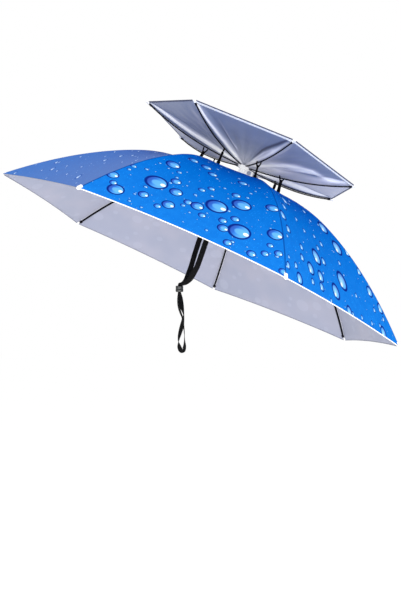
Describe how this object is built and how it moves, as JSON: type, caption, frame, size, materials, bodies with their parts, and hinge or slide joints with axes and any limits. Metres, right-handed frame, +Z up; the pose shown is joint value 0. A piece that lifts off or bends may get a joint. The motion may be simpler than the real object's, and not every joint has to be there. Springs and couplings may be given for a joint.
{
  "type": "umbrella hat",
  "caption": "Umbrella hat: a wide ribbed canopy worn on the head, a small upturned canopy above its vent, an elastic headband and a chin strap with a slider.",
  "frame": {"origin": "centre of the headband's opening, where the hat sits on the head", "axes": "+Z up along the wearer's head, -X to the wearer's front, +Y to the wearer's right; the hat's own axis leans 24.4 degrees back from +Z towards +X, as worn"},
  "size_m": [0.8239, 0.9262, 0.5599],
  "materials": {
    "printed_cloth": "blue coated polyester with a common water-drop print outside, silver lavender coating inside, white bound hem",
    "silver_cloth": "silver coated polyester lining with a soft shine, creased beside each rod",
    "black_rod": "satin black rod with a pale edge of its sewn pocket",
    "white_plastic": "moulded white plastic, semi-gloss",
    "black_elastic": "matt black woven elastic and tape",
    "black_plastic": "dark moulded plastic, satin"
  },
  "bodies": {
    "root": {"main_canopy": "printed_cloth", "top_canopy": "silver_cloth", "main_rib_1": "black_rod", "main_rib_2": "black_rod", "main_rib_3": "black_rod", "main_rib_4": "black_rod", "main_rib_5": "black_rod", "main_rib_6": "black_rod", "main_rib_7": "black_rod", "top_rib_1": "black_rod", "top_rib_2": "black_rod", "top_rib_3": "black_rod", "top_rib_4": "black_rod", "top_rib_5": "black_rod", "top_rib_6": "black_rod", "top_rib_7": "black_rod", "main_tip_1": "white_plastic", "main_tip_2": "white_plastic", "main_tip_3": "white_plastic", "main_tip_4": "white_plastic", "main_tip_5": "white_plastic", "main_tip_6": "white_plastic", "main_tip_7": "white_plastic", "top_tip_1": "white_plastic", "top_tip_2": "white_plastic", "top_tip_3": "white_plastic", "top_tip_4": "white_plastic", "top_tip_5": "white_plastic", "top_tip_6": "white_plastic", "top_tip_7": "white_plastic", "tie_1": "black_elastic", "tie_2": "black_elastic", "tie_3": "black_elastic", "tie_4": "black_elastic", "tie_5": "black_elastic", "tie_6": "black_elastic", "tie_7": "black_elastic", "hub": "white_plastic", "crown_cap": "white_plastic", "headband": "black_elastic", "band_stay_1": "black_elastic", "band_stay_2": "black_elastic", "band_stay_3": "black_elastic", "band_stay_4": "black_elastic", "chin_strap": "black_elastic", "strap_slider": "black_plastic"}
  },
  "joints": []
}
